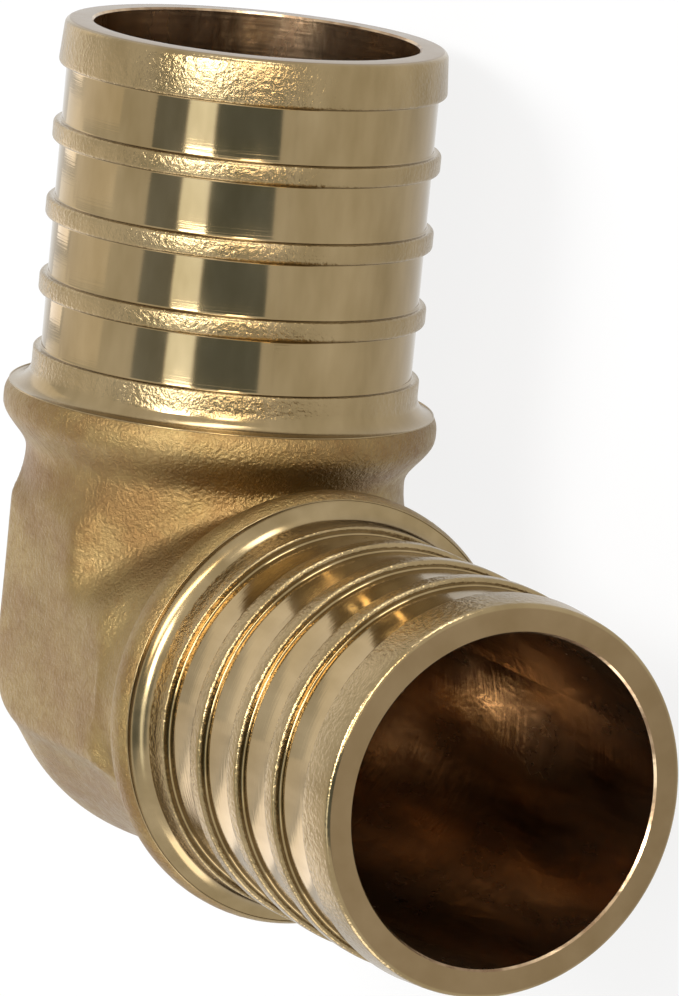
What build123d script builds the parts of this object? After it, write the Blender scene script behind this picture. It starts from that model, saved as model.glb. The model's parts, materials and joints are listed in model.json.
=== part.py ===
"""Brass crimp elbow, 90 degrees, for cross-linked polyethylene (PEX) tube of the 1-inch size.

A forged elbow with two identical barbed inserts turned on its ends and a waterway drilled
through both.  Millimetres.  The origin is where the two waterway axes cross, one leg runs
along +X and the other along +Y, and +Z is up as the elbow lies on its side.
"""
from build123d import *
import os

os.makedirs("parts", exist_ok=True)

# ---------------------------------------------------------------- sizes, the whole elbow
centre_to_end = 35.6          # from the crossing of the axes to each end face
bore_mouth_break = 0.12       # small chamfer where the bore meets the end face

# ---------------------------------------------------------------- sizes, the turned insert
# Lengths here are measured from the end face back along the leg.
tube_bore_radius = 11.1       # inside radius of the tube that goes over the insert
insert_clearance = 0.15       # how much smaller the ribs are than the tube, on the radius
rib_radius = tube_bore_radius - insert_clearance
stem_depth = 0.45             # the stem between the ribs is this much lower than the ribs
stem_radius = rib_radius - stem_depth
insert_wall = 1.3             # wall between the stem and the waterway
bore_radius = stem_radius - insert_wall

tip_band_length = 2.6         # the band at the mouth, which leads the tube on
tip_lead_in = 0.20            # how much narrower the band is at the mouth than at its back
tip_front_round = 0.26        # rounding of the band's front edge
tip_back_round = 0.26         # rounding of the band's back edge

rib_count = 3
rib_width = 1.18              # width of a rib before its two corners are rounded
rib_pitch = 4.34
first_rib_centre = 6.33
rib_round = 0.28              # rounding of a rib's two corners
root_round = 0.12             # nose radius of the tool, left at the foot of every step

base_band_start = 18.68       # the band that the tube stops on, next to the collar
base_band_round = 0.30
flare_round = 1.0             # the concave curve from the base band out onto the collar
shoulder_depth = 20.75        # here the turned surface ends and the forged skin begins

# ---------------------------------------------------------------- sizes, the forging
neck_wall = 1.55              # wall of the elbow's own tube, and of the ball at its heel
collar_land = 0.33            # how far the collar stands out beyond the turned flare
collar_front_round = 0.7      # the forged edge that the turned shoulder cuts into
collar_length = 1.55          # from the turned shoulder back to the end of the collar
collar_back_round = 0.85
collar_slope_length = 1.9     # from the collar down to the neck
neck_round = 1.5              # where the slope meets the neck
turning_allowance = 0.35      # forged length that is turned away in front of the shoulder
crotch_radius = 1.1           # inside corner between the two legs

flat_half_width = 4.2         # the flats on both cheeks of the elbow
flat_proud = 0.06             # how far they stand above the crest of the neck
flat_length = 8.6             # how far they run along each leg from the crossing
flat_draft = 24.0             # degrees, for release from the die
flat_edge_round = 0.6
flat_heel_round = 5.2
flat_crotch_round = 2.4
flat_end_round = 1.0
# The forging sits a little off the axes that its ends were turned and drilled on.
forging_offset = (-0.04, 0.05, 0.07)

# ---------------------------------------------------------------- derived
shoulder = centre_to_end - shoulder_depth
flare_start = shoulder + flare_round
flare_radius = rib_radius + flare_round
collar_radius = flare_radius + collar_land
neck_radius = bore_radius + neck_wall
base_band_edge = centre_to_end - base_band_start
tip_band_edge = centre_to_end - tip_band_length
tip_radius = rib_radius - tip_lead_in
rib_centres = [centre_to_end - first_rib_centre - i * rib_pitch for i in range(rib_count)]
collar_front = shoulder + turning_allowance
collar_back = shoulder - collar_length
neck_start = collar_back - collar_slope_length
bend_radius = neck_radius + crotch_radius
flat_height = neck_radius + flat_proud

# Each leg is drawn in its own plane: local x is the distance from the crossing, local y the
# radius.  The forging is drawn in the same planes moved by its offset.
x_leg = Plane(origin=(0, 0, 0), x_dir=(1, 0, 0), z_dir=(0, 0, 1))
y_leg = Plane(origin=(0, 0, 0), x_dir=(0, 1, 0), z_dir=(0, 0, -1))
x_forged = Plane(origin=forging_offset, x_dir=(1, 0, 0), z_dir=(0, 0, 1))
y_forged = Plane(origin=forging_offset, x_dir=(0, 1, 0), z_dir=(0, 0, -1))


def corner(sketch, along, across):
    """The vertex of a profile nearest to this point."""
    return sketch.vertices().sort_by_distance((along, across))[0]


# ---------------------------------------------------------------- the cheek flats
# One drafted pad, bent like the elbow.  It is drawn at its full height and widens towards
# the axes, so its foot is buried in the neck.
with BuildPart() as upper_flat:
    with BuildSketch(x_forged.offset(flat_height)):
        with BuildLine():
            Polyline(
                (-flat_half_width, -flat_half_width),
                (flat_length, -flat_half_width),
                (flat_length, flat_half_width),
                (flat_half_width, flat_half_width),
                (flat_half_width, flat_length),
                (-flat_half_width, flat_length),
                close=True,
            )
        make_face()
    extrude(amount=-flat_height / 2, taper=-flat_draft)
    # Rounded one by one, then around the rim: the slanting edges each start at a corner.
    for along, across, rounding in (
        (-flat_half_width, -flat_half_width, flat_heel_round),
        (flat_half_width, flat_half_width, flat_crotch_round),
        (flat_length, -flat_half_width, flat_end_round),
        (flat_length, flat_half_width, flat_end_round),
        (flat_half_width, flat_length, flat_end_round),
        (-flat_half_width, flat_length, flat_end_round),
    ):
        start = x_forged.from_local_coords((along, across, flat_height))
        rim_corner = upper_flat.vertices().sort_by_distance(start)[0]
        slanting = [e for e in upper_flat.edges() if abs((e @ 1 - e @ 0).Z) > flat_height / 4]
        fillet(ShapeList(slanting).sort_by_distance(rim_corner)[0], rounding)
    fillet(upper_flat.faces().sort_by(Axis.Z)[-1].edges(), flat_edge_round)

# ---------------------------------------------------------------- the forging
with BuildPart() as elbow:
    for leg in (x_forged, y_forged):
        with BuildSketch(leg) as collar_profile:
            with BuildLine():
                Polyline(
                    (0, 0),
                    (collar_front, 0),
                    (collar_front, collar_radius),
                    (collar_back, collar_radius),
                    (neck_start, neck_radius),
                    (0, neck_radius),
                    close=True,
                )
            make_face()
            fillet(corner(collar_profile, collar_front, collar_radius), collar_front_round)
            fillet(corner(collar_profile, collar_back, collar_radius), collar_back_round)
            fillet(corner(collar_profile, neck_start, neck_radius), neck_round)
        revolve(axis=Axis(leg.origin, leg.x_dir))
    # The heel is rounded as a ball of the neck's radius.
    with Locations(x_forged):
        Sphere(neck_radius)
    # The inside corner is filled by a bend of the same tube.
    bend_start = Plane(
        origin=x_forged.from_local_coords((bend_radius, 0, 0)),
        x_dir=(0, 1, 0),
        z_dir=(1, 0, 0),
    )
    with BuildSketch(bend_start):
        Circle(neck_radius)
    revolve(
        axis=Axis(x_forged.from_local_coords((bend_radius, bend_radius, 0)), (0, 0, -1)),
        revolution_arc=90,
    )
    # Both cheeks have the same flat.
    add(upper_flat.part)
    mirror(upper_flat.part, about=x_forged)

    # ------------------------------------------------------------ turning
    for leg in (x_leg, y_leg):
        # The shoulder is faced off square to the leg.
        with BuildSketch(Plane(origin=leg.from_local_coords((shoulder, 0, 0)),
                               z_dir=leg.x_dir)):
            Circle(collar_radius + collar_length)
        extrude(amount=turning_allowance * 2, mode=Mode.SUBTRACT)
    for leg in (x_leg, y_leg):
        with BuildSketch(leg) as insert_profile:
            with BuildLine():
                Polyline(
                    (shoulder, flare_radius),
                    (shoulder, stem_radius),
                    (collar_back, stem_radius),
                    (collar_back, 0),
                    (centre_to_end, 0),
                    (centre_to_end, tip_radius),
                    (tip_band_edge, rib_radius),
                    (tip_band_edge, stem_radius),
                    (rib_centres[0] + rib_width / 2, stem_radius),
                )
                for i in range(rib_count):
                    front = rib_centres[i] + rib_width / 2
                    back = rib_centres[i] - rib_width / 2
                    following = rib_centres[i] - rib_pitch + rib_width / 2
                    if i == rib_count - 1:
                        following = base_band_edge
                    Polyline(
                        (front, stem_radius),
                        (front, rib_radius),
                        (back, rib_radius),
                        (back, stem_radius),
                        (following, stem_radius),
                    )
                Polyline(
                    (base_band_edge, stem_radius),
                    (base_band_edge, rib_radius),
                    (flare_start, rib_radius),
                )
                RadiusArc((flare_start, rib_radius), (shoulder, flare_radius), flare_round)
            make_face()
            fillet(corner(insert_profile, centre_to_end, tip_radius), tip_front_round)
            fillet(corner(insert_profile, tip_band_edge, rib_radius), tip_back_round)
            fillet(corner(insert_profile, tip_band_edge, stem_radius), root_round)
            for centre in rib_centres:
                for edge in (centre + rib_width / 2, centre - rib_width / 2):
                    fillet(corner(insert_profile, edge, rib_radius), rib_round)
                    fillet(corner(insert_profile, edge, stem_radius), root_round)
            fillet(corner(insert_profile, base_band_edge, rib_radius), base_band_round)
            fillet(corner(insert_profile, base_band_edge, stem_radius), root_round)
        revolve(axis=Axis(leg.origin, leg.x_dir))

    # ------------------------------------------------------------ drilling
    for leg in (x_leg, y_leg):
        with BuildSketch(leg):
            with BuildLine():
                Polyline(
                    (0, 0),
                    (centre_to_end, 0),
                    (centre_to_end, bore_radius + bore_mouth_break),
                    (centre_to_end - bore_mouth_break, bore_radius),
                    (0, bore_radius),
                    close=True,
                )
            make_face()
        revolve(axis=Axis(leg.origin, leg.x_dir), mode=Mode.SUBTRACT)
    Sphere(bore_radius, mode=Mode.SUBTRACT)

elbow.part.label = "elbow"
export_step(elbow.part, "parts/elbow.step")
print("elbow", round(elbow.part.volume, 1), "mm3", elbow.part.is_valid, len(elbow.part.solids()))
print(elbow.part.bounding_box())
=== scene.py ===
# %% [markdown]
# A brass elbow for plastic water tube, built and dressed in Blender.
#
# The real fitting is made in three steps: a hot bar is pressed in a die into a bent blank,
# both ends of the blank are turned in a lathe, and a waterway is drilled through it.  This
# lesson makes the model in the same three steps, because each step leaves its own surface:
# a dull grainy skin, bright turned bands, and a dark drilled hole.

# %% Start from the fixed frame
import json
import math

import bpy
from mathutils import Matrix, Quaternion, Vector


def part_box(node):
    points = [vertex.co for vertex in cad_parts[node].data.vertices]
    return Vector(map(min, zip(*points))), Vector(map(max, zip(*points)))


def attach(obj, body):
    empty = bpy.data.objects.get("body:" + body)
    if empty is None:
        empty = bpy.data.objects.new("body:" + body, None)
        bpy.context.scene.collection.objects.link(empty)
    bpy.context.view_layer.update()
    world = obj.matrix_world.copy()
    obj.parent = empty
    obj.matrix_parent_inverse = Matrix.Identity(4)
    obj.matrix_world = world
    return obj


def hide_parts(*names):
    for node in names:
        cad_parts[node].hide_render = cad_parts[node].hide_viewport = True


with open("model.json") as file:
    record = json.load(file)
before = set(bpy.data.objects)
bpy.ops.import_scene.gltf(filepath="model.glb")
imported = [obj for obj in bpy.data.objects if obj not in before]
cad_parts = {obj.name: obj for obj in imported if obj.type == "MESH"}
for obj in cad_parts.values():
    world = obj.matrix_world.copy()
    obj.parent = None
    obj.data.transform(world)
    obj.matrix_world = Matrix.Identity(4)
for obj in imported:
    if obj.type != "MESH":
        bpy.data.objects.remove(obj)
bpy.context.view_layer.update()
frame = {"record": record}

MM = 0.001
mounts = {m["name"]: m for m in frame["record"]["mounts"]}

# %% [markdown]
# Overall sizes.  The solid model gives them: where each leg ends, and the radius of the ribs
# and of the waterway.  The walls are added to those radii, as on a drawing.  Everything is
# worked out in millimetres and made smaller by a thousand at the end, because Blender's unit
# is the metre and very small numbers are awkward to read.
#
# A "station" is a distance along a leg from the point where the two legs' axes cross.

# %% Overall sizes in millimetres
elbow_low, elbow_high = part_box("elbow")
end_station = elbow_high.x / MM
rib_radius = mounts["insert_x"]["dims"]["r_mm"]
bore_radius = mounts["waterway_x"]["dims"]["r_mm"]

stem_depth = 0.45                      # from the crest of a rib down to the stem
neck_wall = 1.55
collar_rise = 1.33                     # from the crest of a rib up to the collar
shoulder_depth = 20.75                 # from the end of the leg back to the collar

stem_radius = rib_radius - stem_depth
neck_radius = bore_radius + neck_wall
collar_radius = rib_radius + collar_rise
shoulder = end_station - shoulder_depth
print("leg", round(end_station, 2), "rib radius", rib_radius, "bore radius", bore_radius)
print("shoulder at station", round(shoulder, 2))

# %% [markdown]
# Node trees are built in the script here, for materials and for shapes.  Two small helpers
# keep that readable: one adds a node and fills its inputs, and one adds a Math node.  A value
# that is itself a socket is linked, and any other value is typed in.

# %% Helpers for every node tree
def put(tree, kind, inputs=None, **settings):
    """Adds a node, sets its properties, and fills its inputs by name or number."""
    made = tree.nodes.new(kind)
    for name, value in settings.items():
        setattr(made, name, value)
    for name, value in (inputs or {}).items():
        if isinstance(value, bpy.types.NodeSocket):
            tree.links.new(value, made.inputs[name])
        else:
            made.inputs[name].default_value = value
    return made


def calc(tree, operation, *values):
    """Adds a Math node and returns its result."""
    return put(tree, "ShaderNodeMath", dict(enumerate(values)), operation=operation).outputs[0]


# %% [markdown]
# The three finishes come before the shapes, because every shape ends by being painted.  They
# are one metal and differ in colour, in how smooth it is, and in its marks.  Each could be a
# picture wrapped round the part, but noise worked out in space needs no unwrapping and stays
# sharp close up.  All patterns follow Object coordinates in metres, so a noise scale of 1000
# is about one repeat in a millimetre.

# %% Helpers for the finishes
def new_finish(name):
    """A metal material; returns it with its tree, its shader and its Object coordinates."""
    finish = bpy.data.materials.new(name)
    finish.use_nodes = True
    tree = finish.node_tree
    shader = tree.nodes["Principled BSDF"]
    shader.inputs["Metallic"].default_value = 1.0
    place = put(tree, "ShaderNodeTexCoord").outputs["Object"]
    return finish, tree, shader, place


def noise(tree, place, scale, detail=3.0, roughness=0.55, squash=(1, 1, 1)):
    """A noise value; a squash below 1 stretches the pattern along that axis."""
    there = put(tree, "ShaderNodeMapping", {"Vector": place, "Scale": squash}).outputs[0]
    made = put(tree, "ShaderNodeTexNoise",
               {"Vector": there, "Scale": scale, "Detail": detail, "Roughness": roughness})
    return made.outputs["Fac"]


def blend(tree, value, low, high, from_value, to_value):
    """Maps a value from one range to another, and holds it there."""
    return put(tree, "ShaderNodeMapRange", {"Value": value, "From Min": low, "From Max": high,
               "To Min": from_value, "To Max": to_value}).outputs[0]


def mix(tree, share, first, second):
    """Mixes two colours; a Mix node keeps its colours in inputs 6 and 7 and output 2."""
    made = put(tree, "ShaderNodeMix", {0: share}, data_type="RGBA")
    for socket, colour in ((made.inputs[6], first), (made.inputs[7], second)):
        if isinstance(colour, bpy.types.NodeSocket):
            tree.links.new(colour, socket)
        else:
            socket.default_value = (*colour, 1)
    return made.outputs[2]


def bump(tree, shader, *layers):
    """Lays bumps over each other, each a height value with its depth in metres and strength."""
    normal = None
    for height, depth, strength in layers:
        made = put(tree, "ShaderNodeBump",
                   {"Height": height, "Distance": depth, "Strength": strength})
        if normal:
            tree.links.new(normal, made.inputs["Normal"])
        normal = made.outputs[0]
    tree.links.new(normal, shader.inputs["Normal"])


# %% [markdown]
# Turned brass.  The lathe tool leaves very fine rings round the leg, so one noise is quick
# along the leg and nearly still across it.  The crests of the bands and ribs rub against
# others in the box, so they are duller and a little pitted.  A mask finds them by their
# distance from the leg's axis, which is why each leg has a finish of its own.

# %% Turned brass
brass_light = (0.36, 0.27, 0.145)
brass_mid = (0.26, 0.188, 0.09)
brass_brown = (0.19, 0.12, 0.06)
crest_roughness = 0.14                 # added where the brass is worn
flare_dullness = 0.7                   # how worn the flare is, beside the crests
# Painted shade: how far the end faces are darkened towards brown.
end_face_painted_shade = 0.55


def turned_finish(name, along):
    """Bright turned brass; along is 0 for the leg on X and 1 for the leg on Y."""
    finish, tree, shader, place = new_finish(name)
    ring_squash = tuple(1.0 if i == along else 0.02 for i in range(3))
    patch_squash = tuple(0.35 if i == along else 1.0 for i in range(3))
    lines = noise(tree, place, 9000, detail=2.0, squash=ring_squash)
    patches = noise(tree, place, 420, detail=3.0, squash=patch_squash)
    pits = noise(tree, place, 3300, detail=3.0, roughness=0.6)

    # Masks: 1 on a crest, on the flare past the crests, and on the end face of the leg.
    parts = put(tree, "ShaderNodeSeparateXYZ", {0: place}).outputs
    squares = [calc(tree, "MULTIPLY", parts[i], parts[i]) for i in range(3) if i != along]
    radius = calc(tree, "SQRT", calc(tree, "ADD", *squares))
    off_stem = blend(tree, radius, (rib_radius - 0.35) * MM, (rib_radius - 0.1) * MM, 0.0, 1.0)
    off_flare = blend(tree, radius, (rib_radius + 0.01) * MM, (rib_radius + 0.1) * MM, 1.0, 0.0)
    crest = calc(tree, "MULTIPLY", off_stem, off_flare)
    flare = calc(tree, "SUBTRACT", flare_dullness, off_flare)
    end_face = blend(tree, parts[along], (end_station - 0.05) * MM, (end_station - 0.02) * MM, 0.0, 1.0)

    colour = mix(tree, blend(tree, patches, 0.28, 0.72, 0.0, 1.0), brass_mid, brass_light)
    # The end faces of both legs are darkened towards brown as painted shade.
    colour = mix(tree, calc(tree, "MULTIPLY", end_face, end_face_painted_shade), colour, brass_brown)
    tree.links.new(colour, shader.inputs["Base Color"])
    polish = blend(tree, patches, 0.3, 0.7, 0.06, 0.12)
    duller = calc(tree, "MAXIMUM", calc(tree, "MAXIMUM", crest, end_face), flare)
    rough = calc(tree, "ADD", polish, calc(tree, "MULTIPLY", duller, crest_roughness))
    tree.links.new(rough, shader.inputs["Roughness"])
    bump(tree, shader, (lines, 0.00002, 0.2), (calc(tree, "MULTIPLY", pits, crest), 0.00009, 0.75))
    return finish


turned = {"x": turned_finish("turned_leg_x", 0), "y": turned_finish("turned_leg_y", 1)}
print("turned brass for the legs", *turned)

# %% [markdown]
# Forged skin.  A forging keeps the scale of the hot metal and the grain of the blasted die:
# it is rough, speckled, and stained brown in soft blotches.  Noises from very fine to very
# broad are laid over each other, each with one job, so that each can be set by itself.

# %% Forged skin
skin_light = (0.3, 0.213, 0.09)
skin_mid = (0.24, 0.163, 0.064)
skin_brown = (0.19, 0.105, 0.04)


def forged_finish():
    """Dull grainy skin from the die."""
    finish, tree, shader, place = new_finish("forged_skin")
    grain = noise(tree, place, 5200, detail=3.0, roughness=0.65)
    pores = noise(tree, place, 1700, detail=4.0, roughness=0.65)
    waves = noise(tree, place, 330, detail=2.0)
    stain = noise(tree, place, 190, detail=4.0, roughness=0.6)
    blotch = noise(tree, place, 120, detail=5.0, roughness=0.65, squash=(1.0, 1.3, 0.8))
    colour = mix(tree, blend(tree, stain, 0.38, 0.62, 0.0, 1.0), skin_mid, skin_light)
    colour = mix(tree, blend(tree, blotch, 0.44, 0.64, 0.0, 0.75), colour, skin_brown)
    colour = mix(tree, blend(tree, pores, 0.5, 0.75, 0.0, 0.45), colour, skin_brown)
    tree.links.new(colour, shader.inputs["Base Color"])
    tree.links.new(blend(tree, pores, 0.3, 0.7, 0.32, 0.46), shader.inputs["Roughness"])
    bump(tree, shader, (waves, 0.0003, 0.22), (pores, 0.00011, 0.7), (grain, 0.00009, 1.0))
    return finish


forged = forged_finish()
print("forged skin:", forged.name)

# %% [markdown]
# Drilled waterway.  The drill leaves rings round the hole and darker streaks along it, and
# cutting oil has stained the metal.  Both bores share this finish: one lies on X and one on
# Y, so the larger of the two coordinates is always the way along the bore.

# %% Drilled waterway
bore_light = (0.56, 0.405, 0.25)
bore_mid = (0.24, 0.155, 0.09)
bore_brown = (0.2, 0.12, 0.065)


def drilled_finish():
    """The waterway: warm and streaked, with the drill's rings."""
    finish, tree, shader, place = new_finish("drilled_bore")
    x, y, z = put(tree, "ShaderNodeSeparateXYZ", {0: place}).outputs[:3]
    bore_place = put(tree, "ShaderNodeCombineXYZ",
                     {0: calc(tree, "MAXIMUM", x, y), 1: calc(tree, "MINIMUM", x, y), 2: z}).outputs[0]
    rings = noise(tree, bore_place, 2200, detail=3.0, squash=(1.0, 0.03, 0.03))
    streaks = noise(tree, bore_place, 900, detail=3.0, squash=(0.12, 1.0, 1.0))
    patches = noise(tree, bore_place, 300, detail=4.0, roughness=0.6, squash=(0.5, 1.0, 1.0))
    colour = mix(tree, blend(tree, patches, 0.4, 0.6, 0.0, 1.0), bore_light, bore_mid)
    colour = mix(tree, blend(tree, streaks, 0.5, 0.7, 0.0, 0.6), colour, bore_brown)
    tree.links.new(colour, shader.inputs["Base Color"])
    tree.links.new(blend(tree, patches, 0.3, 0.7, 0.14, 0.32), shader.inputs["Roughness"])
    bump(tree, shader, (rings, 0.00006, 0.26), (patches, 0.0004, 0.25))
    return finish


drilled = drilled_finish()
print("finishes:", [m.name for m in bpy.data.materials])

# %% [markdown]
# The shapes are made by Geometry Nodes.  Each tree has named inputs for its sizes, ends in
# Realize Instances and Set Material, and is run once on a holder object.  What it makes is
# kept as a plain mesh and the modifier is thrown away, so nothing is left that could change
# when the file is opened elsewhere.

# %% Helpers for trees that make shapes
def new_tree(name, numbers, others=()):
    """A geometry tree with named number inputs; returns the tree and its inputs by name."""
    tree = bpy.data.node_groups.new(name, "GeometryNodeTree")
    tree.interface.new_socket("Geometry", in_out="INPUT", socket_type="NodeSocketGeometry")
    for label, value in numbers.items():
        kind = "NodeSocketInt" if isinstance(value, int) else "NodeSocketFloat"
        tree.interface.new_socket(label, in_out="INPUT", socket_type=kind)
    for label, kind in others:
        tree.interface.new_socket(label, in_out="INPUT", socket_type=kind)
    tree.interface.new_socket("Geometry", in_out="OUTPUT", socket_type="NodeSocketGeometry")
    return tree, put(tree, "NodeGroupInput").outputs


def finish_tree(tree, geometry, finish):
    """Ends a tree in Realize Instances and Set Material."""
    real = put(tree, "GeometryNodeRealizeInstances", {"Geometry": geometry}).outputs[0]
    painted = put(tree, "GeometryNodeSetMaterial", {"Geometry": real, "Material": finish}).outputs[0]
    put(tree, "NodeGroupOutput", {"Geometry": painted})


def grow(name, tree, values, start=None):
    """Runs a tree on a mesh, or on an empty one, and returns the result as a plain mesh."""
    holder = bpy.data.objects.new(name, start or bpy.data.meshes.new(name))
    bpy.context.scene.collection.objects.link(holder)
    step = holder.modifiers.new(name, "NODES")
    step.node_group = tree
    for item in tree.interface.items_tree:
        if item.in_out == "INPUT" and item.name in values:
            step[item.identifier] = values[item.name]
    shown = holder.evaluated_get(bpy.context.evaluated_depsgraph_get())
    mesh = bpy.data.meshes.new_from_object(shown)
    holder.modifiers.remove(step)
    bpy.data.objects.remove(holder)
    return mesh


# %% [markdown]
# Step one, the forged blank.  Its shape follows a rule, so Geometry Nodes can make it from a
# formula: at every point of a block of space the tree works out how deep that point is inside
# the metal, and a surface is drawn where the depth is zero.  It could be modelled as tubes
# with fillets instead, but a smooth maximum of two depths gives the soft inside corners of a
# forging without any filleting.
#
# The die is never quite in line with the lathe, so the blank sits a few hundredths of a
# millimetre off the axes.

# %% The blank's sizes and its tree
collar_length = 1.55                   # the full collar, measured back from the shoulder
turning_allowance = 0.35               # metal in front of the shoulder, for the lathe to cut
flat_proud = 0.06                      # how far the cheek flats stand out of the necks
forging_offset = (-0.04, 0.05, 0.07)

blank_sizes = {
    "Neck radius": neck_radius,
    "Collar radius": collar_radius,
    "Collar back": shoulder - collar_length,
    "Slope length": 1.9,
    "Collar front": shoulder + turning_allowance,
    "Crotch softness": 1.4,
    "Flat height": neck_radius + flat_proud,
    "Flat half width": 4.2,
    "Flat length": 8.6,
    "Length": end_station + 1.0,
}
tree, size = new_tree("forged_blank", blank_sizes)
where = put(tree, "GeometryNodeInputPosition").outputs[0]
moved = put(tree, "ShaderNodeVectorMath", {0: where, 1: forging_offset}, operation="SUBTRACT").outputs[0]
x, y, z = put(tree, "ShaderNodeSeparateXYZ", {0: moved}).outputs[:3]
print("blank tree inputs:", list(blank_sizes))

# %% [markdown]
# One leg is a neck whose radius swells to the collar and falls again in front of it.  Behind
# the crossing point the neck is closed by a ball, which rounds the heel: there the distance
# is measured from the point instead of from the axis.

# %% The depth inside a leg
collar_edge = 0.35                     # how gently the slope meets the neck and the collar
fall_behind, fall_ahead = 1.1, 0.7     # where the collar falls off, about its front
fall_share = 0.5                       # how much of the collar is left there


def smooth_step(value, start, stop, to_start, to_stop):
    """Moves gently from one value to another between two stations."""
    return put(tree, "ShaderNodeMapRange", {"Value": value, "From Min": start, "From Max": stop,
               "To Min": to_start, "To Max": to_stop}, interpolation_type="SMOOTHSTEP").outputs[0]


def leg_depth(along, side):
    """How deep a point is inside one leg, with its collar."""
    ahead = calc(tree, "MAXIMUM", along, 0.0)
    behind = calc(tree, "MINIMUM", along, 0.0)
    squares = [calc(tree, "MULTIPLY", v, v) for v in (behind, side, z)]
    across = calc(tree, "SQRT", calc(tree, "ADD", calc(tree, "ADD", squares[0], squares[1]), squares[2]))
    back, front = size["Collar back"], size["Collar front"]
    slope_start = calc(tree, "SUBTRACT", back, calc(tree, "ADD", size["Slope length"], collar_edge))
    rise = smooth_step(ahead, slope_start, calc(tree, "ADD", back, collar_edge), 0.0, 1.0)
    fall = smooth_step(ahead, calc(tree, "SUBTRACT", front, fall_behind),
                       calc(tree, "ADD", front, fall_ahead), 1.0, fall_share)
    step = calc(tree, "SUBTRACT", size["Collar radius"], size["Neck radius"])
    swell = calc(tree, "MULTIPLY", calc(tree, "MULTIPLY", rise, fall), step)
    radius = calc(tree, "ADD", size["Neck radius"], swell)
    to_end = calc(tree, "SUBTRACT", size["Length"], along)
    return calc(tree, "MINIMUM", calc(tree, "SUBTRACT", radius, across), to_end)


legs = calc(tree, "SMOOTH_MAX", leg_depth(x, y), leg_depth(y, x), size["Crotch softness"])
print("legs joined with", len(tree.nodes), "nodes so far")

# %% [markdown]
# Both cheeks have an L-shaped flat, where the two halves of the die leave room for a mark.
# It is one more depth: the distance inside an L-shaped outline, which grows with depth so
# that the sides slope for release from the die, joined softly to the legs.  Metal that would
# stand above the flat is cut down to it, but only inside the outline.

# %% The cheek flats
side_draft, heel_draft = 40, 24        # degrees
heel_softness, crotch_softness, end_softness = 6.0, 2.8, 1.2
draft_softness, edge_softness, cap_softness = 2.0, 0.4, 0.2
pad_softness = 1.2
pad_depth = 4.0
outside_slope = 4.0                    # how fast the cut rises outside the outline

below = calc(tree, "SUBTRACT", size["Flat height"], calc(tree, "ABSOLUTE", z))
half, reach = size["Flat half width"], size["Flat length"]
heel = calc(tree, "SMOOTH_MIN", calc(tree, "ADD", x, half), calc(tree, "ADD", y, half), heel_softness)
crotch = calc(tree, "SMOOTH_MAX", calc(tree, "SUBTRACT", half, x), calc(tree, "SUBTRACT", half, y),
              crotch_softness)
ends = calc(tree, "MINIMUM", calc(tree, "SUBTRACT", reach, x), calc(tree, "SUBTRACT", reach, y))
bend = calc(tree, "SMOOTH_MIN", heel, crotch, edge_softness)
outline = calc(tree, "SMOOTH_MIN", bend, ends, end_softness)


def draft(side, degrees):
    """One side of the pad, leaning outwards with depth."""
    return calc(tree, "ADD", side, calc(tree, "MULTIPLY", below, math.tan(math.radians(degrees))))


inner = calc(tree, "SMOOTH_MIN", draft(crotch, side_draft), draft(ends, side_draft), draft_softness)
sides = calc(tree, "SMOOTH_MIN", draft(heel, heel_draft), inner, edge_softness)
sloped = calc(tree, "MINIMUM", sides, calc(tree, "SUBTRACT", pad_depth, below))
pad = calc(tree, "SMOOTH_MIN", sloped, below, pad_softness)
body = calc(tree, "SMOOTH_MAX", legs, pad, pad_softness)
past_outline = calc(tree, "MAXIMUM", calc(tree, "MULTIPLY", outline, -1.0), 0.0)
room = calc(tree, "ADD", below, calc(tree, "MULTIPLY", past_outline, outside_slope))
capped = calc(tree, "SMOOTH_MIN", body, room, cap_softness)
print("blank formula:", len(tree.nodes), "nodes")

# %% [markdown]
# The block of space is just larger than the blank, because every cell in it costs time.  The
# cell size sets how fine the surface is: a smaller one keeps more of the crisp flats and
# makes many more faces.

# %% From depth to surface
cell = 0.27
margin, end_margin = 0.8, 1.6
low_corner = Vector((-collar_radius, -collar_radius, -collar_radius)) - Vector((margin, margin, margin))
high_corner = Vector((end_station, end_station, collar_radius)) + Vector((end_margin, end_margin, margin))
cells = [round(v / cell) for v in high_corner - low_corner]
block = put(tree, "GeometryNodeVolumeCube", {"Density": capped, "Background": -1.0,
            "Min": low_corner, "Max": high_corner, "Resolution X": cells[0],
            "Resolution Y": cells[1], "Resolution Z": cells[2]}).outputs[0]
skin = put(tree, "GeometryNodeVolumeToMesh", {"Volume": block, "Threshold": 0.0}).outputs[0]
finish_tree(tree, skin, forged)
blank = grow("blank", tree, blank_sizes)
print("cells:", cells, "blank:", len(blank.polygons), "faces")

# %% [markdown]
# Step two, the lathe.  A lathe tool follows one outline while the leg spins, and whatever lies
# outside that outline is cut away.  So the tool is modelled instead of the turned leg: a
# closed outline, swept once round the axis, that will be subtracted from the blank.
#
# The insert has a band at its tip, three ribs and a band at its base, and then flares up to
# the collar.  The ribs are alike, so only one groove between ribs is drawn.

# %% Sizes of the turned insert
tip_band_length = 2.6
tip_lead_in = 0.14                     # how much the tip band narrows to its front
tip_front_round = 0.38
tip_back_round = 0.26
rib_count = 3
rib_width = 1.18
rib_pitch = 4.34
first_rib = 6.33                       # from the end of the leg to the middle of the first rib
rib_round = 0.26
root_round = 0.12
base_band_start = 18.68
base_band_length = 0.95
base_band_round = 0.14
flare_round = 1.15

rib_stations = [end_station - first_rib - i * rib_pitch for i in range(rib_count)]
tip_back = end_station - tip_band_length
base_edge = end_station - base_band_start
flare_start = base_edge - base_band_length
print("ribs at stations", [round(s, 2) for s in rib_stations], "flare from", round(flare_start, 2))

# %% [markdown]
# The outline is a chain of points, each a station and a radius.  Round edges are arcs with a
# few steps, so that they still catch a line of light; straight runs need only their two ends.
# The chain is drawn in two parts, with the repeated grooves between them, and it closes on
# itself outside the metal, where it cuts nothing.

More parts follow.
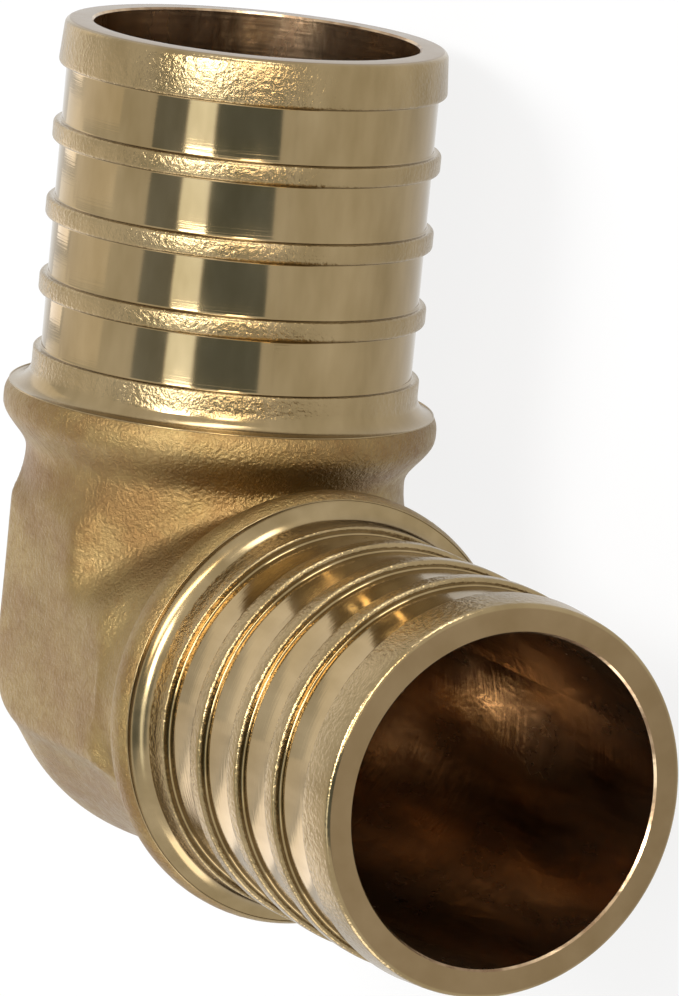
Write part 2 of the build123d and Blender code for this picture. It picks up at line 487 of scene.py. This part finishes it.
# %% The outline of the turning tool
def arc(centre, radius, start, stop, steps=5):
    """Points on an arc; angles in degrees, 0 along the leg and 90 away from it."""
    turns = [math.radians(start + (stop - start) * i / steps) for i in range(steps + 1)]
    return [(centre[0] + radius * math.cos(t), centre[1] + radius * math.sin(t)) for t in turns]


def groove(front, back, front_round, back_round):
    """From the crest in front, down to the stem and up to the crest behind it."""
    root = stem_radius + root_round
    return (arc((front + front_round, rib_radius - front_round), front_round, 90, 180)
            + arc((front - root_round, root), root_round, 0, -90)
            + arc((back + root_round, root), root_round, -90, -180)
            + arc((back - back_round, rib_radius - back_round), back_round, 0, 90))


clear = 3.0                            # how far the tool reaches past the metal
outside = collar_radius + clear
inside = bore_radius - clear

tip_front = rib_radius - tip_lead_in
rib_crests = [(rib + rib_width / 2 - rib_round, rib_radius) for rib in rib_stations]
to_first_rib = (arc((end_station - tip_front_round, tip_front - tip_front_round), tip_front_round, 0, 90)
                + groove(tip_back, rib_stations[0] + rib_width / 2, tip_back_round, rib_round))
between_ribs = [rib_crests[0]] + groove(rib_stations[0] - rib_width / 2,
                                        rib_stations[1] + rib_width / 2, rib_round, rib_round)
flare_end = -168                       # degrees; at -180 the flare would be square to the leg
flare = arc((flare_start, rib_radius + flare_round), flare_round, -90, flare_end, 14)
way_back = [(flare[-1][0], outside), (end_station + clear, outside), (end_station + clear, inside),
            (end_station, inside), to_first_rib[0]]
to_shoulder = ([rib_crests[-1]]
               + groove(rib_stations[-1] - rib_width / 2, base_edge, rib_round, base_band_round)
               + flare + way_back)
print("one groove has", len(between_ribs), "points, and is used", rib_count - 1, "times")

# %% [markdown]
# The sweep.  Geometry Nodes repeat the groove along the leg, weld the copies to the rest of
# the outline, and sweep the whole of it round a circle.  A Screw modifier could sweep it too,
# but here the number of ribs, their pitch and the sweep are inputs of one tree, and the same
# tree makes the drills later.

# %% A sweep round the leg, with a repeated part
sweep_sizes = {"Groove count": rib_count - 1, "Groove pitch": rib_pitch,
               "Sweep radius": stem_radius, "Steps round": 224}
weld_gap, pole_gap = 0.001, 0.0005
tree, size = new_tree("sweep_round_leg", sweep_sizes,
                      [("Groove", "NodeSocketObject"), ("Finish", "NodeSocketMaterial")])
groove_mesh = put(tree, "GeometryNodeObjectInfo", {"Object": size["Groove"]}).outputs["Geometry"]
stride = put(tree, "ShaderNodeCombineXYZ", {1: size["Groove pitch"]}).outputs[0]
spots = put(tree, "GeometryNodeMeshLine", {"Count": size["Groove count"], "Offset": stride}).outputs[0]
grooves = put(tree, "GeometryNodeInstanceOnPoints", {"Points": spots, "Instance": groove_mesh}).outputs[0]
real_grooves = put(tree, "GeometryNodeRealizeInstances", {"Geometry": grooves}).outputs[0]
whole = put(tree, "GeometryNodeJoinGeometry", {0: size["Geometry"]})
tree.links.new(real_grooves, whole.inputs[0])
welded = put(tree, "GeometryNodeMergeByDistance",
             {"Geometry": whole.outputs[0], "Distance": weld_gap}).outputs[0]
# The circle adds its own radius to the outline, so that is taken off first.
drop = put(tree, "ShaderNodeCombineXYZ", {0: calc(tree, "MULTIPLY", size["Sweep radius"], -1.0)}).outputs[0]
lowered = put(tree, "GeometryNodeSetPosition", {"Geometry": welded, "Offset": drop}).outputs[0]
profile = put(tree, "GeometryNodeMeshToCurve", {"Mesh": lowered}).outputs[0]
ring = put(tree, "GeometryNodeCurvePrimitiveCircle",
           {"Resolution": size["Steps round"], "Radius": size["Sweep radius"]}).outputs[0]
swept = put(tree, "GeometryNodeCurveToMesh", {"Curve": ring, "Profile Curve": profile}).outputs[0]
# Where the outline reaches the axis, its ring of points becomes one.
closed = put(tree, "GeometryNodeMergeByDistance", {"Geometry": swept, "Distance": pole_gap}).outputs[0]
finish_tree(tree, closed, size["Finish"])
sweep_tree = tree
print("sweep tree:", len(sweep_tree.nodes), "nodes")

# %% [markdown]
# A tool is made from its outline in three moves: the points become a mesh of edges, the tree
# sweeps it, and the result is turned from the Z axis onto its leg.  A cutter only works if its
# faces point outwards, and the signed volume shows that: it is negative when they don't.

# %% From outline to cutting tool
def chain_mesh(name, *chains):
    """A mesh of edges only, from lists of points (station, radius), ready to be swept."""
    points, edges = [], []
    for chain in chains:
        first = len(points)
        points += [(radius, -station, 0.0) for station, radius in chain]
        edges += [(i, i + 1) for i in range(first, len(points) - 1)]
    mesh = bpy.data.meshes.new(name)
    mesh.from_pydata(points, edges, [])
    return mesh


def volume(mesh):
    """Signed volume of a closed mesh; it is negative where the faces point inwards."""
    mesh.calc_loop_triangles()
    points = [v.co for v in mesh.vertices]
    return sum(points[a].dot(points[b].cross(points[c])) for a, b, c in
               (t.vertices for t in mesh.loop_triangles)) / 6


# The sweep stands on Z; a leg lies on X or on Y.
onto = {"x": Matrix(((0, 0, 1, 0), (1, 0, 0, 0), (0, 1, 0, 0), (0, 0, 0, 1))),
        "y": Matrix(((0, 1, 0, 0), (0, 0, 1, 0), (1, 0, 0, 0), (0, 0, 0, 1)))}


def tool(name, leg, finish, repeated, *chains):
    """A cutting tool on one leg, as an object with its faces outwards."""
    part = bpy.data.objects.new("groove", chain_mesh("groove", repeated)) if repeated else None
    values = {**sweep_sizes, "Groove": part, "Finish": finish}
    mesh = grow(name, sweep_tree, values, chain_mesh("outline", *chains))
    mesh.transform(onto[leg])
    if volume(mesh) < 0:
        mesh.flip_normals()
    made = bpy.data.objects.new(name, mesh)
    bpy.context.scene.collection.objects.link(made)
    print(name, len(mesh.polygons), "faces,", round(volume(mesh)), "cubic millimetres")
    return made


turning_tools = [tool("turning_tool_" + leg, leg, turned[leg], between_ribs, to_first_rib, to_shoulder)
                 for leg in "xy"]

# %% [markdown]
# Step three, the drill.  The waterway is two bores.  The first drill has a round nose and makes
# the corner; the second stops inside that corner with a plain point, so that the two cuts don't
# lie on each other.  Both mouths have a very small chamfer, as a fitter's reamer leaves it.

# %% The drills
mouth_break = 0.12
round_nose = arc((0, 0), bore_radius, 180, 90, 24)
plain_nose = [(-4.0, 0.0), (-2.0, 6.0), (0.0, bore_radius)]


def drill(name, leg, nose):
    """A drill from its nose to beyond the mouth of the leg."""
    mouth = [(end_station - mouth_break, bore_radius), (end_station, bore_radius + mouth_break),
             (end_station + clear, bore_radius + mouth_break), (end_station + clear, 0.0)]
    return tool(name, leg, drilled, None, nose + mouth)


drills = [drill("drill_x", "x", round_nose), drill("drill_y", "y", plain_nose)]

# %% [markdown]
# The blank is now machined: every tool is subtracted from it.  The manifold solver is quick and
# exact on closed meshes, and the faces that a tool leaves keep that tool's finish, so the dull
# skin, the bright bands and the dark hole each come from the step that made them.

# %% Machine the blank
fitting = bpy.data.objects.new("brass_elbow", blank)
bpy.context.scene.collection.objects.link(fitting)
for cutter in turning_tools + drills:
    cut = fitting.modifiers.new(cutter.name, "BOOLEAN")
    cut.operation = "DIFFERENCE"
    cut.solver = "MANIFOLD"
    cut.material_mode = "TRANSFER"
    cut.object = cutter
machined = bpy.data.meshes.new_from_object(
    fitting.evaluated_get(bpy.context.evaluated_depsgraph_get()))
machined.materials.pop(index=0)        # the blank's first material slot was never filled
fitting.modifiers.clear()
for cutter in turning_tools + drills:
    bpy.data.objects.remove(cutter)
machined_in_mm = machined.copy()
print("machined:", len(machined.polygons), "faces")

# %% [markdown]
# The machined mesh is brought down to metres.  It is shaded smooth, but a lathe leaves crisp
# corners, so every edge that turns by more than the crisp angle stays sharp.

# %% To metres, smooth with crisp corners
crisp_angle = math.radians(32)
machined.transform(Matrix.Scale(MM, 4))
machined.shade_smooth()
machined.set_sharp_from_angle(angle=crisp_angle)
fitting.data = machined
machined.calc_loop_triangles()
print("fitting:", len(machined.loop_triangles), "triangles,", round(volume(machined) / MM ** 3), "cubic mm")

# %% [markdown]
# Where the lathe tool broke through the forged skin it pushed up a thin bright lip.  It follows
# a path that the model already holds: the edges with dull skin on one side and turned metal on
# the other.  Geometry Nodes find those edges by averaging a face value over each edge (it is
# exactly one half there), turn them into a curve, and run a very thin wire along it.

# %% The lip along the cut edge
lip_sizes = {"Wire radius": 0.045, "Wire points": 200}
tree, size = new_tree("turned_lip", lip_sizes,
                      [("Skin", "NodeSocketMaterial"), ("Finish", "NodeSocketMaterial")])
is_skin = put(tree, "GeometryNodeMaterialSelection", {"Material": size["Skin"]}).outputs[0]
on_faces = put(tree, "GeometryNodeFieldOnDomain", {"Value": is_skin},
               data_type="FLOAT", domain="FACE").outputs[0]
on_edges = put(tree, "GeometryNodeFieldOnDomain", {"Value": on_faces},
               data_type="FLOAT", domain="EDGE").outputs[0]
border = put(tree, "FunctionNodeCompare", {"A": on_edges, "B": 0.5, "Epsilon": 0.1},
             operation="EQUAL").outputs[0]
path = put(tree, "GeometryNodeMeshToCurve", {"Mesh": size["Geometry"], "Selection": border}).outputs[0]
even = put(tree, "GeometryNodeResampleCurve", {"Curve": path, "Count": size["Wire points"]}).outputs[0]
wire = put(tree, "GeometryNodeCurvePrimitiveCircle",
           {"Resolution": 6, "Radius": size["Wire radius"]}).outputs[0]
lip_tube = put(tree, "GeometryNodeCurveToMesh", {"Curve": even, "Profile Curve": wire}).outputs[0]
finish_tree(tree, lip_tube, size["Finish"])

lip_mesh = grow("lip", tree, {**lip_sizes, "Skin": forged, "Finish": turned["x"]}, machined_in_mm)
lip_mesh.transform(Matrix.Scale(MM, 4))
lip_mesh.shade_smooth()
lip = bpy.data.objects.new("turned_lip", lip_mesh)
bpy.context.scene.collection.objects.link(lip)
print("lip:", len(lip_mesh.polygons), "faces")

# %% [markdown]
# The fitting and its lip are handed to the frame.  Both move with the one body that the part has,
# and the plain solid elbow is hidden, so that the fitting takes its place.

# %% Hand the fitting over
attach(lip, "root")
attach(fitting, "root")
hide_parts("elbow")
print("pieces:", fitting.name, lip.name)

# %% [markdown]
# The fitting lies on a pale floor.  The floor and the sky are plain white to the camera and in
# reflections, and a part of the floor's light is ordinary diffuse light, which keeps the soft
# shadow.  More lamps would also whiten the floor, but they would bleach the brass with it.

# %% The floor
def seen(tree):
    """1 for what the camera, a mirror or a glass looks at, and 0 for light on dull surfaces."""
    path = put(tree, "ShaderNodeLightPath").outputs
    either = calc(tree, "MAXIMUM", path["Is Camera Ray"], path["Is Glossy Ray"])
    return calc(tree, "MAXIMUM", either, path["Is Transmission Ray"])


white, pale = (1, 1, 1, 1), (0.9, 0.9, 0.9, 1)
glow_share = 0.85
floor_half = 4.0

floor_finish = bpy.data.materials.new("floor_white")
floor_finish.use_nodes = True
tree = floor_finish.node_tree
tree.nodes.clear()
dull = put(tree, "ShaderNodeBsdfDiffuse", {"Color": pale}).outputs[0]
glow = put(tree, "ShaderNodeEmission", {"Color": white, "Strength": 1.0}).outputs[0]
share = calc(tree, "MULTIPLY", seen(tree), glow_share)
surface = put(tree, "ShaderNodeMixShader", {0: share, 1: dull, 2: glow}).outputs[0]
put(tree, "ShaderNodeOutputMaterial", {"Surface": surface})

floor_mesh = bpy.data.meshes.new("floor")
floor_corners = [(sx * floor_half, sy * floor_half, elbow_low.z)
                 for sx, sy in ((-1, -1), (1, -1), (1, 1), (-1, 1))]
floor_mesh.from_pydata(floor_corners, [], [(0, 1, 2, 3)])
floor_mesh.materials.append(floor_finish)
floor = bpy.data.objects.new("floor", floor_mesh)
bpy.context.scene.collection.objects.link(floor)
print("floor at", round(elbow_low.z / MM, 2), "mm")

# %% [markdown]
# The sky lights the floor evenly, and one large soft lamp, high up on one side, gives the
# shadow its direction.  Metal would mirror the lamp as a square, so reflections don't see it.

# %% Sky and shadow lamp
sky_light = 0.55
world = bpy.data.worlds.new("white_sky")
world.use_nodes = True
tree = world.node_tree
tree.nodes.clear()
brightness = blend(tree, seen(tree), 0.0, 1.0, sky_light, 1.0)
sky = put(tree, "ShaderNodeBackground", {"Color": white, "Strength": brightness}).outputs[0]
put(tree, "ShaderNodeOutputWorld", {"Surface": sky})
bpy.context.scene.world = world

lamp_data = bpy.data.lights.new("shadow_lamp", "AREA")
lamp_data.size = 0.5
lamp_data.energy = 9.0
lamp = bpy.data.objects.new("shadow_lamp", lamp_data)
lamp.location = (-0.35, 0.35, 0.9)
lamp.rotation_mode = "QUATERNION"
lamp.rotation_quaternion = lamp.location.to_track_quat("Z", "Y")
lamp.visible_camera = False
lamp.visible_glossy = False
bpy.context.scene.collection.objects.link(lamp)
print("lamp", round(lamp.location.length, 2), "m away")

# %% [markdown]
# Metal shows what stands round it.  A studio sets long panels beside a round bright thing: a
# narrow bright one draws a highlight along it, and dark ones on both sides of that give the
# highlight its edges.  The panels here are seen by reflections only, and they add no light to
# dull surfaces.
#
# Most of them are bent round the axis of the leg on Y, at an angle measured from the leg on X
# towards the sky, because a round leg mirrors directions by their angle round its axis.

# %% Panels round the fitting
def glowing(name, points, faces, strength, tint):
    """A stage mesh with its own light, which only reflections see."""
    mesh = bpy.data.meshes.new(name)
    mesh.from_pydata(points, [], faces)
    finish = bpy.data.materials.new(name)
    finish.use_nodes = True
    nodes = finish.node_tree
    nodes.nodes.clear()
    light = put(nodes, "ShaderNodeEmission", {"Color": (*tint, 1), "Strength": strength}).outputs[0]
    put(nodes, "ShaderNodeOutputMaterial", {"Surface": light})
    mesh.materials.append(finish)
    made = bpy.data.objects.new(name, mesh)
    bpy.context.scene.collection.objects.link(made)
    made.visible_camera = False
    made.visible_diffuse = False
    made.visible_shadow = False
    print(name, "strength", strength)


def panel(name, start, stop, strength, tint, low=-1.1, high=0.7):
    """A panel bent round the leg on Y between two angles in degrees, from low to high along it."""
    away, steps = 1.5, 12
    turns = [math.radians(start + (stop - start) * i / steps) for i in range(steps + 1)]
    points = [(away * math.cos(t), level, away * math.sin(t)) for t in turns for level in (low, high)]
    faces = [(2 * i, 2 * i + 1, 2 * i + 3, 2 * i + 2) for i in range(steps)]
    glowing(name, points, faces, strength, tint)


def flat_panel(name, centre, facing, wide, tall, strength):
    """A flat white panel; facing is the direction back to the fitting."""
    turn = Vector(facing).to_track_quat("Z", "Y")
    corners = [(-wide, -tall), (wide, -tall), (wide, tall), (-wide, tall)]
    points = [Vector(centre) + turn @ Vector((u / 2, v / 2, 0)) for u, v in corners]
    glowing(name, points, [(0, 1, 2, 3)], strength, (1.0, 1.0, 1.0))


# %% [markdown]
# The key is in two parts.  The stems mirror the lower part, which is mild, and only the worn
# crests, which scatter, catch the strong core above it.  The warm back panels light the cheek
# and the heel, and three more reach into the mouth, the far flare and the crotch.

# %% Set the panels
cool, cool_key, warm = (0.85, 1.0, 1.1), (0.93, 1.0, 1.05), (1.0, 0.97, 0.94)
panel("dark_beside_camera", 8, 48, 0.28, cool, low=-0.62, high=0.05)
panel("key_strip", 49, 66, 2.3, cool_key, low=-0.9, high=0.0)
panel("key_core", 49, 65, 20.0, (1.0, 0.99, 0.97), low=0.02)
panel("light_into_upright_mouth", 19, 31, 14.0, (1.0, 0.88, 0.7), low=0.15, high=1.2)
panel("dark_above_key", 67, 88, 0.42, (0.9, 1.0, 1.1), low=-0.7, high=0.2)
panel("wide_soft_panel", 114, 155, 1.25, warm, high=-0.1)
panel("back_panel", 150, 180, 1.5, (1.0, 0.97, 0.92), low=-0.2, high=1.1)
panel("low_back_panel", 158, 178, 2.3, (1.0, 0.96, 0.93), high=-0.25)
flat_panel("panel_past_upright_leg", (0.25, 1.5, 0.12), (0, -1, 0), 0.7, 0.5, 9.0)
flat_panel("panel_below_crotch", (0.0, -1.3, 0.35), (0, 1, 0), 0.9, 0.55, 4.0)

# %% [markdown]
# The camera looks from the side of one leg's mouth, from a good way off with a long lens, so
# that both legs keep nearly the same scale.  It is rolled on its side: the fitting lies flat
# on the floor, but a view with one leg upright is easier to read.

# %% Camera
camera_target = Vector((1.959, 9.353, -7.062)) * MM
camera_distance = 467.97 * MM
azimuth, elevation, roll = (math.radians(v) for v in (12.175, 28.8325, 90.345))
towards = Vector((math.cos(elevation) * math.cos(azimuth), math.cos(elevation) * math.sin(azimuth),
                  math.sin(elevation)))
lens = bpy.data.cameras.new("camera")
lens.lens = 297.52
lens.sensor_width = 36.0
lens.sensor_fit = "AUTO"
lens.clip_start = 0.01
lens.clip_end = 20.0
camera = bpy.data.objects.new("camera", lens)
bpy.context.scene.collection.objects.link(camera)
camera.rotation_mode = "QUATERNION"
camera.rotation_quaternion = towards.to_track_quat("Z", "Y") @ Quaternion((0, 0, 1), -roll)
camera.location = camera_target + towards * camera_distance
bpy.context.scene.camera = camera
bpy.context.scene.view_settings.view_transform = "Standard"
print("camera at", [round(v / MM, 2) for v in camera.location])
